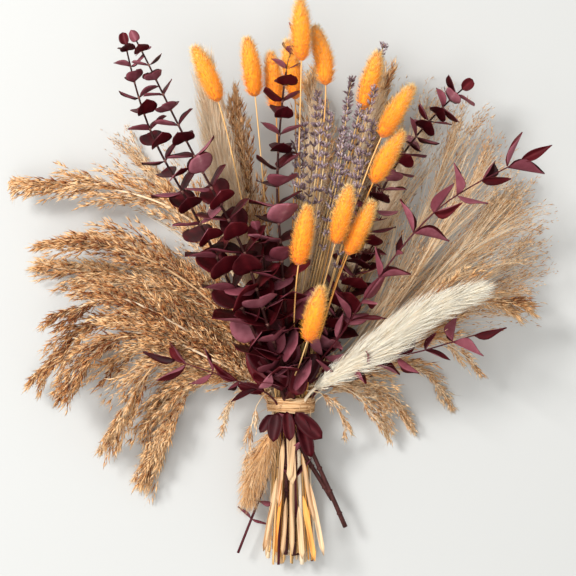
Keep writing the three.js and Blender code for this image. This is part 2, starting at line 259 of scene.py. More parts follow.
class Shape:
    """Collects closed bits of mesh. Each vertex has a tone: a random share, how far it is from
    its bit's base, and a share of its own kind."""

    def __init__(self):
        self.places, self.triangles, self.tones, self.slots, self.count = [], [], [], [], 0

    def add(self, places, triangles, tones, slot):
        places = np.asarray(places, float).reshape(-1, 3)
        triangles = np.asarray(triangles, int).reshape(-1, 3)
        self.triangles.append(triangles + self.count)
        self.places.append(places)
        self.tones.append(np.broadcast_to(tones, (len(places), 3)))
        self.slots.append(np.full(len(triangles), slot))
        self.count += len(places)

    def repeat(self, places, triangles, tones, slot):
        """Adds N bits with the same triangles. places is (N, vertices, 3)."""
        n, each = places.shape[:2]
        offsets = (np.arange(n) * each)[:, None, None]
        self.add(places, np.asarray(triangles)[None] + offsets, tones.reshape(-1, 3), slot)


def ways_across(direction, rng):
    """Two unit vectors across each direction, turned at random."""
    d = unit(direction)
    helper = unit(rng.normal(size=d.shape))
    u = unit(np.cross(d, helper))
    return u, np.cross(d, u)


def tone_rows(random_share, along, own, n, each):
    """The tones of n bits with the same number of vertices each."""
    tones = np.empty((n, each, 3))
    tones[..., 0] = np.asarray(random_share).reshape(n, 1)
    tones[..., 1] = along
    tones[..., 2] = np.asarray(own).reshape(-1, 1)
    return tones


SPINDLE = [(0, 2, 1), (0, 3, 2), (0, 1, 3), (4, 1, 2), (4, 2, 3), (4, 3, 1)]
NEEDLE = [(0, 1, 3), (1, 2, 3), (2, 0, 3), (0, 2, 1)]
THIRDS = [(math.cos(TAU * k / 3), math.sin(TAU * k / 3)) for k in range(3)]
HUSK_FLATNESS = 0.55


def spindles(shape, base, tip, width, tone, own, slot, rng, belly=0.35):
    """Small pointed husks, widest at the belly, which is a share of the way along."""
    u, v = ways_across(tip - base, rng)
    middle = base + (tip - base) * belly
    half = np.asarray(width).reshape(-1, 1) / 2
    ring = [middle + half * (c * u + HUSK_FLATNESS * s * v) for c, s in THIRDS]
    places = np.stack([base, *ring, tip], 1)
    shape.repeat(places, SPINDLE, tone_rows(tone, [0, 0.4, 0.4, 0.4, 1], own, len(base), 5), slot)


def needles(shape, base, tip, width, tone, own, slot, rng):
    """Straight fine hairs."""
    u, v = ways_across(tip - base, rng)
    half = np.asarray(width).reshape(-1, 1) / 2
    ring = [base + half * (c * u + s * v) for c, s in THIRDS]
    places = np.stack([*ring, tip], 1)
    shape.repeat(places, NEEDLE, tone_rows(tone, [0, 0, 0, 1], own, len(base), 4), slot)


def strands(shape, points, radius, tone, own, slot, rng):
    """Curved fine hairs or branchlets, three-sided and tapering. points is (N, steps, 3)."""
    n, steps = points.shape[:2]
    u, v = ways_across(points[:, -1] - points[:, 0], rng)
    taper = 1 - 0.75 * np.arange(steps - 1) / (steps - 1)
    size = np.asarray(radius).reshape(-1, 1) * taper[None]
    rings = [points[:, :-1] + size[..., None] * (c * u + s * v)[:, None] for c, s in THIRDS]
    body = np.stack(rings, 2).reshape(n, -1, 3)
    places = np.concatenate([body, points[:, -1:]], 1)
    triangles = [(0, 2, 1)]
    for k in range(steps - 2):
        for i in range(3):
            a, b = 3 * k + i, 3 * k + (i + 1) % 3
            triangles += [(a, b, b + 3), (a, b + 3, a + 3)]
    last, top = 3 * (steps - 2), 3 * (steps - 1)
    triangles += [(last + i, last + (i + 1) % 3, top) for i in range(3)]
    along = np.concatenate([np.repeat(np.arange(steps - 1) / (steps - 1), 3), [1]])
    shape.repeat(places, triangles, tone_rows(tone, along, own, n, len(along)), slot)


def tube(shape, route, distances, radii, sides, tone, slot, ridge=0.0):
    """A round stem along a route, closed at both ends. ridge is how deep its grooves are."""
    place, _, across, other = route.at(distances)
    angle = np.arange(sides) * TAU / sides
    groove = 1 - ridge * (np.arange(sides) % 2)
    reach = radii[:, None, None] * groove[None, :, None]
    ring = across[:, None] * np.cos(angle)[None, :, None] + other[:, None] * np.sin(angle)[None, :, None]
    body = (place[:, None] + reach * ring).reshape(-1, 3)
    places = np.concatenate([body, place[:1], place[-1:]])
    rows = len(distances)
    share = np.repeat((distances - distances[0]) / (distances[-1] - distances[0]), sides)
    tones = np.zeros((len(places), 3))
    tones[:, 0] = tone
    tones[:, 1] = np.concatenate([share, [0, 1]])
    tones[-2, 2] = 1  # the middle of the first end, which is often a cut foot
    shape.add(places, tube_triangles(rows, sides), tones, slot)


def tube_triangles(rows, sides):
    """The wall of a tube, and the fans to the middles of its two ends, which come last."""
    k = np.arange(rows - 1) * sides
    first_end, last_end = rows * sides, rows * sides + 1
    triangles = []
    for i in range(sides):
        j = (i + 1) % sides
        triangles.append(np.stack([k + i, k + j, k + j + sides], 1))
        triangles.append(np.stack([k + i, k + j + sides, k + i + sides], 1))
        triangles.append([[i, first_end, j]])
        triangles.append([[(rows - 1) * sides + i, (rows - 1) * sides + j, last_end]])
    return np.concatenate([np.reshape(part, (-1, 3)) for part in triangles])


PRESS = 2.5 * MM
PRESSED_BELOW = 6 * PRESS
LOOSE_EDGE = 13 * MM


def rest_on_floor(places):
    """What would pass through the floor is pressed flat just above it."""
    z = places[:, 2]
    places[:, 2] = np.where(z < PRESSED_BELOW, PRESS * np.logaddexp(0, z / PRESS), z)
    return places


def draw_in(places):
    """Hairs that reach beyond the CAD model's box are gently shortened."""
    low, high = (np.array(corner) for corner in CAD_BOX)
    low[2] = -1.0  # what is under the floor is left to rest_on_floor
    beyond = places - np.clip(places, low, high)
    return places - beyond + np.sign(beyond) * LOOSE_EDGE * (1 - np.exp(-np.abs(beyond) / LOOSE_EDGE))


def mesh_of(shape, name):
    places = rest_on_floor(draw_in(np.concatenate(shape.places)))
    triangles = np.concatenate(shape.triangles)
    mesh = bpy.data.meshes.new(name)
    mesh.vertices.add(len(places))
    mesh.vertices.foreach_set("co", places.astype(np.float32).ravel())
    mesh.loops.add(triangles.size)
    mesh.loops.foreach_set("vertex_index", triangles.ravel().astype(np.int32))
    mesh.polygons.add(len(triangles))
    mesh.polygons.foreach_set("loop_start", np.arange(0, triangles.size, 3, dtype=np.int32))
    mesh.polygons.foreach_set("material_index", np.concatenate(shape.slots).astype(np.int32))
    mesh.polygons.foreach_set("use_smooth", np.ones(len(triangles), bool))
    tones = np.concatenate([np.concatenate(shape.tones), np.ones((len(places), 1))], 1)
    attribute = mesh.attributes.new("tone", "FLOAT_COLOR", "POINT")
    attribute.data.foreach_set("color", tones.astype(np.float32).ravel())
    mesh.update(calc_edges=True)
    return mesh


def make_piece(shape, name, materials, replaced=()):
    mesh = mesh_of(shape, name)
    for material in materials:
        mesh.materials.append(material)
    piece = put(name, mesh)
    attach(piece, "root")
    if replaced:
        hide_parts(*replaced)


# ---------------- materials


def srgb(red, green, blue):
    """A colour given as it looks on a screen, from 0 to 255, as the shader's own numbers."""
    shares = [c / 255 for c in (red, green, blue)]
    linear = [c / 12.92 if c <= 10 / 255 else ((c + 0.055) / 1.055) ** 2.4 for c in shares]
    return (*linear, 1)


def grain_noise(tree, grain, stretch):
    """A fine noise that is fixed to the object."""
    coordinates = tree.nodes.new("ShaderNodeTexCoord")
    mapping = tree.nodes.new("ShaderNodeMapping")
    mapping.inputs["Scale"].default_value = stretch
    tree.links.new(coordinates.outputs["Object"], mapping.inputs["Vector"])
    noise = tree.nodes.new("ShaderNodeTexNoise")
    noise.inputs["Scale"].default_value = grain
    noise.inputs["Detail"].default_value = 3
    tree.links.new(mapping.outputs["Vector"], noise.inputs["Vector"])
    return noise.outputs["Fac"]


def weighted_sum(tree, weights, noise):
    """An offset, plus the vertex's three tones and the noise, each times its share."""
    tone = tree.nodes.new("ShaderNodeAttribute")
    tone.attribute_name = "tone"
    split = tree.nodes.new("ShaderNodeSeparateColor")
    tree.links.new(tone.outputs["Color"], split.inputs["Color"])
    total = None
    offset, *shares = weights
    sources = [split.outputs["Red"], split.outputs["Green"], split.outputs["Blue"], noise]
    for source, share in zip(sources, shares):
        if share == 0:
            continue
        step = tree.nodes.new("ShaderNodeMath")
        step.operation = "MULTIPLY_ADD"
        tree.links.new(source, step.inputs[0])
        step.inputs[1].default_value = share
        if total is None:
            step.inputs[2].default_value = offset
        else:
            tree.links.new(total, step.inputs[2])
        total = step.outputs[0]
    return total


def colour_ramp(tree, colours, position):
    ramp = tree.nodes.new("ShaderNodeValToRGB")
    stops = ramp.color_ramp.elements
    while len(stops) < len(colours):
        stops.new(0.5)
    for stop, (place, *colour) in zip(stops, colours):
        stop.position = place
        stop.color = srgb(*colour)
    tree.links.new(position, ramp.inputs["Fac"])
    return ramp.outputs["Color"]


def plant_material(name, colours, weights, roughness, grain=900.0, sheen=0.0, bump=0.25, stretch=(1, 1, 1)):
    """colours are stops: a position and the colour on a screen. weights are an offset and the shares
    that the vertex's three tones and a noise of the given grain have in the position."""
    material = bpy.data.materials.new(name)
    material.use_nodes = True
    tree = material.node_tree
    nodes, link = tree.nodes, tree.links.new
    surface = nodes["Principled BSDF"]
    surface.inputs["Specular IOR Level"].default_value = 0.16
    surface.inputs["Sheen Weight"].default_value = sheen
    surface.inputs["Sheen Roughness"].default_value = 0.4
    noise = grain_noise(tree, grain, stretch)
    link(colour_ramp(tree, colours, weighted_sum(tree, weights, noise)), surface.inputs["Base Color"])
    spread = nodes.new("ShaderNodeMapRange")
    spread.inputs["To Min"].default_value, spread.inputs["To Max"].default_value = roughness
    link(noise, spread.inputs["Value"])
    link(spread.outputs["Result"], surface.inputs["Roughness"])
    relief = nodes.new("ShaderNodeBump")
    relief.inputs["Strength"].default_value = bump
    relief.inputs["Distance"].default_value = 0.4 * MM
    link(noise, relief.inputs["Height"])
    link(relief.outputs["Normal"], surface.inputs["Normal"])
    return material


STRAW = plant_material(
    "straw_stem",
    [(0, 112, 70, 40), (0.3, 186, 142, 98), (0.65, 226, 194, 152), (1, 248, 232, 206)],
    (-0.05, 0.75, 0.1, -0.2, 0.45), (0.5, 0.75), grain=500, bump=0.35, stretch=(1, 0.15, 1))
REED = plant_material(
    "reed_husk",
    [(0, 66, 20, 6), (0.22, 132, 70, 34), (0.5, 202, 140, 84), (0.78, 240, 194, 140), (1, 254, 232, 198)],
    (-0.08, 0.66, 0.25, 0.0, 0.2), (0.55, 0.8), grain=700, sheen=0.04)
REED_HAIR = plant_material(
    "reed_hair",
    [(0, 204, 150, 98), (0.5, 236, 192, 140), (1, 254, 234, 202)],
    (0, 0.6, 0.3, 0.0, 0.1), (0.45, 0.65), grain=300, sheen=0.06)
GRASS = plant_material(
    "silky_grass",
    [(0, 200, 146, 100), (0.35, 238, 200, 154), (0.7, 252, 230, 196), (1, 255, 248, 230)],
    (0, 0.7, 0.15, 0.0, 0.15), (0.4, 0.6), grain=300, sheen=0.08)
GRASS_SEED = plant_material(
    "grass_seed",
    [(0, 146, 88, 48), (0.4, 216, 164, 112), (1, 252, 226, 188)],
    (0, 0.7, 0.2, 0.0, 0.1), (0.5, 0.7), grain=700)
PAMPAS = plant_material(
    "cream_pampas",
    [(0, 240, 206, 160), (0.25, 253, 234, 202), (0.6, 255, 248, 230), (1, 255, 253, 242)],
    (0.05, 0.5, 0.35, 0.0, 0.1), (0.4, 0.6), grain=250, sheen=0.4)
WARM_PAMPAS = plant_material(
    "warm_pampas",
    [(0, 222, 176, 126), (0.25, 244, 208, 164), (0.6, 254, 230, 196), (1, 255, 242, 220)],
    (0.05, 0.5, 0.35, 0.0, 0.1), (0.4, 0.6), grain=250, sheen=0.3)
# Dyed orange, with painted shade: the hairs' own tone is their place along the head, which makes them
# deeper orange towards its base.
BUNNY = plant_material(
    "dyed_bunny_tail_painted_shade",
    [(0, 248, 120, 14), (0.3, 254, 158, 38), (0.6, 255, 186, 78), (1, 255, 226, 160)],
    (0.0, 0.3, 0.22, 0.5, 0.08), (0.55, 0.75), grain=900, sheen=0.2, bump=0.1)
BUNNY_STEM = plant_material(
    "dyed_stem",
    [(0, 196, 128, 56), (0.5, 226, 166, 92), (1, 240, 200, 140)],
    (0, 0.7, 0.0, 0.0, 0.3), (0.5, 0.7), grain=500, bump=0.3, stretch=(1, 0.15, 1))
LAVENDER = plant_material(
    "lavender_calyx",
    [(0, 58, 34, 34), (0.3, 108, 82, 86), (0.6, 158, 136, 142), (1, 226, 208, 202)],
    (-0.05, 0.55, 0.35, 0.0, 0.25), (0.6, 0.85), grain=1200, sheen=0.2)
LAVENDER_STEM = plant_material(
    "lavender_stalk",
    [(0, 150, 112, 66), (0.5, 196, 158, 104), (1, 226, 196, 146)],
    (0, 0.6, 0.0, 0.0, 0.4), (0.5, 0.75), grain=500, stretch=(1, 0.15, 1))
LEAF_FRONT = plant_material(
    "leaf_front",
    [(0, 26, 1, 4), (0.35, 58, 5, 12), (0.7, 88, 16, 24), (1, 124, 44, 48)],
    (-0.1, 0.5, 0.1, 0.3, 0.45), (0.42, 0.62), grain=160, bump=0.3)
LEAF_BACK = plant_material(
    "leaf_back",
    [(0, 84, 30, 38), (0.4, 118, 58, 68), (0.75, 152, 92, 102), (1, 192, 144, 146)],
    (-0.1, 0.5, 0.1, 0.3, 0.45), (0.5, 0.7), grain=200, bump=0.3)
WOODY = plant_material(
    "woody_stem",
    [(0, 44, 18, 18), (0.4, 84, 46, 42), (0.75, 136, 98, 88), (1, 190, 160, 148)],
    (-0.1, 0.2, -0.15, 0.55, 0.5), (0.5, 0.75), grain=420, bump=0.4, stretch=(1, 0.3, 1))
DARK_TWIG = plant_material(
    "dark_twig",
    [(0, 44, 10, 18), (0.5, 84, 28, 36), (1, 128, 66, 66)],
    (0, 0.4, 0.1, 0.2, 0.4), (0.4, 0.65), grain=420, bump=0.3)
RAFFIA = plant_material(
    "raffia_fibre",
    [(0, 140, 88, 50), (0.35, 196, 148, 100), (0.7, 224, 184, 138), (1, 246, 220, 180)],
    (-0.05, 0.7, 0.0, 0.0, 0.4), (0.5, 0.75), grain=650, bump=0.4, stretch=(0.2, 1, 0.2))
SHEATH = plant_material(
    "dry_sheath",
    [(0, 140, 98, 64), (0.35, 188, 148, 108), (0.7, 218, 184, 144), (1, 240, 214, 182)],
    (0, 0.5, 0.1, 0.2, 0.45), (0.5, 0.75), grain=420, bump=0.4, stretch=(1, 0.12, 1))
ORANGE_STRAW = plant_material(
    "orange_straw",
    [(0, 190, 112, 44), (0.5, 232, 154, 70), (1, 246, 190, 116)],
    (0, 0.4, 0.1, 0.1, 0.45), (0.5, 0.75), grain=420, bump=0.3, stretch=(1, 0.12, 1))
GOLDEN = plant_material(
    "golden_tuft",
    [(0, 168, 108, 58), (0.35, 222, 164, 102), (0.7, 244, 202, 148), (1, 254, 232, 196)],
    (0, 0.6, 0.3, 0.0, 0.1), (0.45, 0.65), grain=300, sheen=0.3)


# ---------------- plants

DROOP = np.array([0, -1.0, 0])  # the way the heads hung while they dried
STEM_GROOVES = 0.06


def on_head(route, head_length, shares):
    start = route.length - head_length
    return route.at(start + head_length * shares)


def turned(across, other, angle):
    """The way out from a stem, at these angles round it."""
    angle = angle[:, None]
    return np.cos(angle) * across + np.sin(angle) * other


def leaning(heading, side, degrees):
    """The heading, tipped over towards a side."""
    lean = np.radians(degrees)[:, None]
    return np.cos(lean) * heading + np.sin(lean) * side


def on_curve(base, way, bend, length, u):
    """Places at shares u of curved strands: straight along way at first, then more along bend."""
    return base[:, None] + length[:, None, None] * (way[:, None] * u + bend[:, None] * u * u)


def curved(base, way, bend, length, steps):
    return on_curve(base, way, bend, length, np.linspace(0, 1, steps)[None, :, None])


def stem_tube(shape, route, foot_radius, neck_radius, until, tone, slot, sides=8):
    distances = np.linspace(0, until, max(int(until / (9 * MM)), 6))
    radii = np.interp(distances, [0, until], [foot_radius, neck_radius])
    tube(shape, route, distances, radii, sides, tone, slot, STEM_GROOVES)


def stem_nodes(shape, route, spacing, radius, until, tone, slot, rng):
    """The slightly swollen joints of a cane."""
    for at in np.arange(spacing * rng.uniform(0.3, 0.7), until, spacing):
        distances = at + np.array([-1.2, -0.5, 0, 0.5, 1.2]) * MM
        tube(shape, route, distances, radius * np.array([0.9, 1.16, 1.24, 1.16, 0.9]), 8, tone, slot)


def stem_fuzz(shape, route, radius, count, slot, rng):
    """Fine pale threads left where the leaves were stripped off the lower stem."""
    at = rng.uniform(4 * MM, 110 * MM, count)
    place, along, across, other = route.at(at)
    out = turned(across, other, rng.uniform(0, TAU, count))
    way = leaning(along, out, rng.uniform(4, 30, count)) * rng.choice([-1, 1, 1], (count, 1))
    root = place + out * radius * 0.8
    length = rng.uniform(5, 13, count)[:, None] * MM
    tip = root + (way + out * 0.15) * length
    needles(shape, root, tip, 0.4 * MM, rng.uniform(0.3, 1, count), 0, slot, rng)


BRANCHLETS = 4  # in each bunch of a reed plume


def reed_plume(shape, route, head_length, half_width, rng, bunches=40, husks=15, pale=0.0, hair=0.5,
               husk=(6, 11)):
    """A drooping panicle: bunches of branchlets on the top of the stem, set with husks and hairs."""
    branches = bunches * BRANCHLETS
    bunch = np.arange(branches) // BRANCHLETS
    spots = (np.arange(bunches) + rng.random(bunches)) / bunches
    t = np.clip((spots ** 1.06)[bunch] * 0.98 + rng.normal(0, 0.012, branches), 0, 0.99)
    place, along, across, other = on_head(route, head_length, t)
    out = turned(across, other, rng.uniform(0, TAU, bunches)[bunch] + rng.normal(0, 0.3, branches))
    fullness = np.minimum(1, 0.4 + 2.2 * t) * (1 - t) ** 0.55 + 0.16
    length = half_width * rng.uniform(1.9, 3.3, branches) * fullness
    wide = rng.random(bunches)[bunch] * (22 - 14 * t)
    way = leaning(along, out, rng.uniform(8, 22, branches) + wide)
    upright = np.clip(along[:, 1:2], 0, 1)
    bend = DROOP * rng.uniform(0.02, 0.34, bunches)[bunch][:, None] * (1 - 0.85 * upright) - out * 0.12
    bunch_tone = rng.uniform(-0.34, 0.34, bunches)[bunch] + pale
    points = curved(place, way, bend, length, 5)
    strands(shape, points, 0.26 * MM, np.clip(0.5 + bunch_tone, 0, 1), 0, 1, rng)

    u = rng.uniform(0.06, 1, (branches, husks))[..., None]
    base = on_curve(place, way, bend, length, u).reshape(-1, 3)
    heading = unit(way[:, None] + 2 * bend[:, None] * u).reshape(-1, 3)
    reed_husks(shape, base, heading, husk, np.repeat(bunch_tone, husks), u.reshape(-1), rng)
    hairy = rng.random(len(base)) < hair
    reed_hairs(shape, base[hairy], heading[hairy], rng)


def reed_husks(shape, base, heading, sizes, bunch_tone, share, rng):
    """Husks painted darker near the stem, as the shade inside the plume, and paler outwards. share is how
    far along its branchlet each one sits.
    """
    n = len(base)
    side, _ = ways_across(heading, rng)
    way = leaning(heading, side, rng.uniform(6, 34, n))
    length = rng.uniform(*sizes, n)[:, None] * MM
    # painted shade: the husks get darker towards the stem, where the inside of the plume is shaded
    tone = np.clip(rng.beta(1.3, 1.3, n) + bunch_tone + (share - 0.55) * 0.75, 0, 1)
    width = rng.uniform(0.16, 0.2, n) * length[:, 0]
    spindles(shape, base, base + way * length, width, tone, 0, 2, rng)


def reed_hairs(shape, base, heading, rng):
    n = len(base)
    side, _ = ways_across(heading, rng)
    way = leaning(heading, side, rng.uniform(12, 52, n))
    length = rng.uniform(6, 13, n)[:, None] * MM
    needles(shape, base, base + way * length, 0.4 * MM, rng.uniform(0.1, 1, n), 0, 3, rng)


STRANDS_PER_LOCK = 5
STRAIGHT_SHARE = 0.98  # how much of its length a grass strand goes along its first direction


def grass_plume(shape, route, spread, rng, count=155, seeds=9):
    """A silky fan of long fine strands in locks, each with small seeds on its outer half."""
    lock = np.arange(count) // STRANDS_PER_LOCK

    def for_each_lock(low, high):
        return rng.uniform(low, high, count // STRANDS_PER_LOCK + 1)[lock]

    tie_at = route.distance_at_tie()
    free = route.length - tie_at
    start = tie_at + free * for_each_lock(0.2, 0.86)
    place, along, across, other = route.at(start)
    out = turned(across, other, for_each_lock(0, TAU) + rng.normal(0, 0.35, count))
    reach = free * for_each_lock(0.26, 0.56)
    length = np.minimum(route.length - start + rng.uniform(-16, 12, count) * MM, reach)
    length = np.maximum(length, 30 * MM)
    way = leaning(along, out, for_each_lock(1, spread) + rng.uniform(-1, 2, count))
    end_place, _, _, _ = route.at(np.minimum(start + length, route.length))
    towards = unit(end_place - place)
    bend = (towards - along) * 0.9 + DROOP * for_each_lock(-0.1, 0.26)[:, None]
    lock_tone = for_each_lock(-0.25, 0.25)
    tone = np.clip(rng.uniform(0.2, 0.9, count) + lock_tone, 0, 1)
    points = curved(place, way * STRAIGHT_SHARE, bend, length, 6)
    strands(shape, points, rng.uniform(0.2, 0.36, count) * MM, tone, 0, 1, rng)
    u = rng.uniform(0.45, 1, (count, seeds))[..., None]
    base = on_curve(place, way * STRAIGHT_SHARE, bend, length, u).reshape(-1, 3)
    heading = unit(way[:, None] + 2 * bend[:, None] * u).reshape(-1, 3)
    grass_seeds(shape, base, heading, np.repeat(lock_tone, seeds), rng)


def grass_seeds(shape, base, heading, tone, rng):
    n = len(base)
    side, _ = ways_across(heading, rng)
    way = leaning(heading, side, rng.uniform(8, 38, n))
    base = base + side * rng.uniform(0, 2.6, (n, 1)) * MM
    length = rng.uniform(3.2, 6.5, n)[:, None] * MM
    width = rng.uniform(0.7, 1.15, n) * MM
    tone = np.clip(rng.uniform(0, 1, n) + tone, 0, 1)
    spindles(shape, base, base + way * length, width, tone, 0, 2, rng)


def pampas_plume(shape, route, head_length, half_width, rng, hairs=3900, slot=1, droop=0.12, widest=46):
    """A soft plume of long curved hairs round a pale core."""
    shares = np.linspace(0.02, 0.97, 16)
    start = route.length - head_length
    core = half_width * 0.3 * np.sin(math.pi * shares ** 0.8) ** 0.6 + 0.4 * MM
    tube(shape, route, start + head_length * shares, core, 8, 0.7, slot)
    t = rng.random(hairs) ** 0.9 * 0.96
    place, along, across, other = on_head(route, head_length, t)
    turn = rng.uniform(0, TAU, hairs)
    out = turned(across, other, turn)
    fullness = np.minimum(1, 0.3 + 1.9 * t) * (1 - 0.55 * t)
    length = half_width * rng.uniform(1.3, 2.4, hairs) * fullness
    way = leaning(along, out, rng.uniform(10, widest, hairs))
    bend = along * 0.25 - out * 0.28 + DROOP * rng.uniform(0, droop, hairs)[:, None]
    clump = np.sin(turn * 3 + t * 40) * 0.2
    tone = np.clip(rng.uniform(0.1, 0.9, hairs) + clump, 0, 1)
    root = place + out * np.interp(t, shares, core)[:, None] * 0.8
    points = curved(root, way, bend, length, 4)
    strands(shape, points, rng.uniform(0.18, 0.34, hairs) * MM, tone, 0, slot, rng)


def bunny_profile(shares, half_width):
    """The radius of the oval core at these shares of its length."""
    return half_width * 0.6 * np.sin(math.pi * np.clip(shares, 0.002, 0.998) ** 0.85) ** 0.5


def bunny_tail(shape, route, head_length, half_width, rng, hairs=1750):
    """A soft oval head: a core set all over with hairs, paler towards its tip. Its deeper orange towards
    the base is painted shade.
    """
    shares = np.linspace(0.01, 0.99, 14)
    start = route.length - head_length
    tube(shape, route, start + head_length * shares, bunny_profile(shares, half_width), 12, 0.4, 1)
    t = rng.uniform(0.0, 1.0, hairs)
    place, along, across, other = on_head(route, head_length, t)
    out = turned(across, other, rng.uniform(0, TAU, hairs))
    root = place + out * bunny_profile(t, half_width)[:, None] * 0.9
    way = leaning(along, out, rng.uniform(16, 70, hairs))
    length = rng.uniform(4.5, 9.5, hairs)[:, None] * MM * (1 - 0.3 * t[:, None])
    shade = rng.uniform(-0.3, 0.35)
    # painted shade: own is t, so the hairs are deeper orange towards the base of the head
    needles(shape, root, root + way * length, 0.36 * MM, rng.uniform(0, 1, hairs) + shade, t, 1, rng)


PETALS = 3  # at the mouth of each cup


def lavender_spike(shape, route, head_length, rng, whorls=12, each=7):
    """Whorls of small five-sided cups, close together at the tip and further apart below."""
    gaps = np.linspace(1.7, 0.7, whorls)
    shares = np.concatenate([[0.0], np.cumsum(gaps)])[:whorls] / gaps.sum()
    for share in shares:
        count = each if share > 0.3 else each - 2
        place, along, across, other = (row[0] for row in on_head(route, head_length, np.array([share])))
        turn = rng.uniform(0, TAU) + np.arange(count) * TAU / count + rng.normal(0, 0.2, count)
        out = turned(across, other, turn)
        way = leaning(along, out, rng.uniform(24, 62, count))
        root = place + out * 0.5 * MM + along * rng.normal(0, 1.0, (count, 1)) * MM
        size = rng.uniform(3.4, 5.4, count)[:, None] * MM
        cups(shape, root, way, size, rng.uniform(-0.2, 0.75, count), rng)
        mouths = np.repeat(root + way * size * 0.86, PETALS, 0)
        lavender_petals(shape, mouths, np.repeat(way, PETALS, 0), rng)


def lavender_petals(shape, base, heading, rng):
    n = len(base)
    side, _ = ways_across(heading, rng)
    way = unit(heading + side * rng.uniform(0.4, 1.0, (n, 1)))
    tip = base + way * rng.uniform(1.6, 3.0, (n, 1)) * MM
    width = rng.uniform(0.7, 1.2, n) * MM
    spindles(shape, base, tip, width, rng.uniform(0.3, 1, n), 0, 1, rng, belly=0.5)


CUP_SIDES = 5
CUP_RINGS = ((0, 0.3), (0.45, 0.8), (0.85, 0.9), (1.0, 0.6))  # share of the length, radius in mm


def cups(shape, root, way, size, tone, rng):
    """Small five-sided cups, narrow at the base, drawn in a little at the mouth, with a floor."""
    u, v = ways_across(way, rng)
    angles = np.arange(CUP_SIDES) * TAU / CUP_SIDES
    rings = []
    for share, radius in CUP_RINGS:
        middle = root + way * size * share
        corners = [middle + radius * MM * (math.cos(a) * u + math.sin(a) * v) for a in angles]
        rings.append(np.stack(corners, 1))
    places = np.concatenate([*rings, (root + way * size * 0.8)[:, None]], 1)
    triangles = []
    for k in range(len(CUP_RINGS) - 1):
        for i in range(CUP_SIDES):
            a, b = CUP_SIDES * k + i, CUP_SIDES * k + (i + 1) % CUP_SIDES
            triangles += [(a, b, b + CUP_SIDES), (a, b + CUP_SIDES, a + CUP_SIDES)]
    mouth = CUP_SIDES * (len(CUP_RINGS) - 1)
    floor = mouth + CUP_SIDES
    triangles += [(mouth + i, mouth + (i + 1) % CUP_SIDES, floor) for i in range(CUP_SIDES)]
    triangles += [(0, i + 1, i) for i in range(1, CUP_SIDES - 1)]
    along = np.concatenate([np.repeat([share for share, _ in CUP_RINGS], CUP_SIDES), [0]])
    shape.repeat(places, triangles, tone_rows(tone, along, 0, len(root), len(along)), 1)


LEAF_ROWS, LEAF_COLUMNS = 8, 6
LEAF_THICKNESS = 0.35 * MM


def round_outline(u):
    """The half width of a round leaf at a share of its length, as a share of the widest."""
    return np.sqrt(np.maximum(1 - (2 * u ** 0.95 - 1) ** 2, 0)) * (1 - 0.05 * u)


def pointed_outline(u):
    return np.sin(math.pi * u ** 0.72) ** 1.15


def leaf_triangles():
    """The triangles of a leaf's front and rim, and of its back."""
    columns = LEAF_COLUMNS + 1
    grid = (LEAF_ROWS + 1) * columns
    front = []
    for i in range(LEAF_ROWS):
        for j in range(LEAF_COLUMNS):
            a = i * columns + j
            front += [(a, a + 1, a + columns + 1), (a, a + columns + 1, a + columns)]
    back = [(a + grid, c + grid, b + grid) for a, b, c in front]
    edge = list(range(columns))
    edge += [i * columns + LEAF_COLUMNS for i in range(1, LEAF_ROWS + 1)]
    edge += [LEAF_ROWS * columns + j for j in range(LEAF_COLUMNS - 1, -1, -1)]
    edge += [i * columns for i in range(LEAF_ROWS - 1, 0, -1)]
    for a, b in zip(edge, edge[1:] + edge[:1]):
        front += [(a, a + grid, b + grid), (a, b + grid, b)]
    return np.array(front), np.array(back)


LEAF_FRONT_FACES, LEAF_BACK_FACES = leaf_triangles()


def leaf(shape, base, outward, across, length, width, outline, cup, curl, rng, dusty=0.32):
    """One thin leaf, cupped along its middle. dusty is the chance that its paler back is on top."""
    if (np.cross(across, outward)[2] > 0) == (rng.random() < dusty):
        across = -across
    normal = unit(np.cross(across, outward))
    u = np.linspace(0, 1, LEAF_ROWS + 1)[:, None]
    v = np.linspace(-1, 1, LEAF_COLUMNS + 1)[None, :]
    half = outline(u) * width / 2 + 0.25 * MM
    ripple = 0.025 * np.sin(u * 7 + rng.uniform(0, TAU)) * v
    rise = cup * np.abs(v) ** 1.6 * half / width + curl * u ** 2 + ripple
    middle = base + outward * (length * u[..., None]) + across * (v * half)[..., None]
    middle = middle + normal * (length * rise)[..., None]
    vein = np.clip(1 - np.abs(v) * 5, 0, 1) * 0.6 + 0.25 * (np.abs(v) > 0.9)
    own = np.broadcast_to(vein, rise.shape).ravel()
    along = np.broadcast_to(u, rise.shape).ravel()
    tones = np.stack([np.full(own.size, rng.uniform(0.05, 0.95)), along, own], 1)
    offset = normal * LEAF_THICKNESS / 2
    places = np.concatenate([(middle + offset).reshape(-1, 3), (middle - offset).reshape(-1, 3)])
    start = shape.count
    shape.add(places, LEAF_FRONT_FACES, np.concatenate([tones, tones]), 1)
    shape.triangles.append(LEAF_BACK_FACES + start)
    shape.slots.append(np.full(len(LEAF_BACK_FACES), 2))


def leaf_pair(shape, route, at, turn, lift, length, width, outline, rng, cup=0.25, curl=0.05):
    """Two leaves on opposite sides of a stem. lift is how much they point along it."""
    place, along, across, other = (row[0] for row in route.at(np.array([at])))
    for half in (0, math.pi):
        angle = turn + half + rng.normal(0, 0.16)
        out = math.cos(angle) * across + math.sin(angle) * other
        outward = unit(out + along * (lift + rng.normal(0, 0.14)))
        side = unit(np.cross(along, out))
        size = rng.uniform(0.86, 1.1)
        leaf(shape, place + out * 0.8 * MM, outward, side, length * size, width * size, outline,
             cup * rng.uniform(0.4, 1.7), curl + rng.normal(0, 0.06), rng)


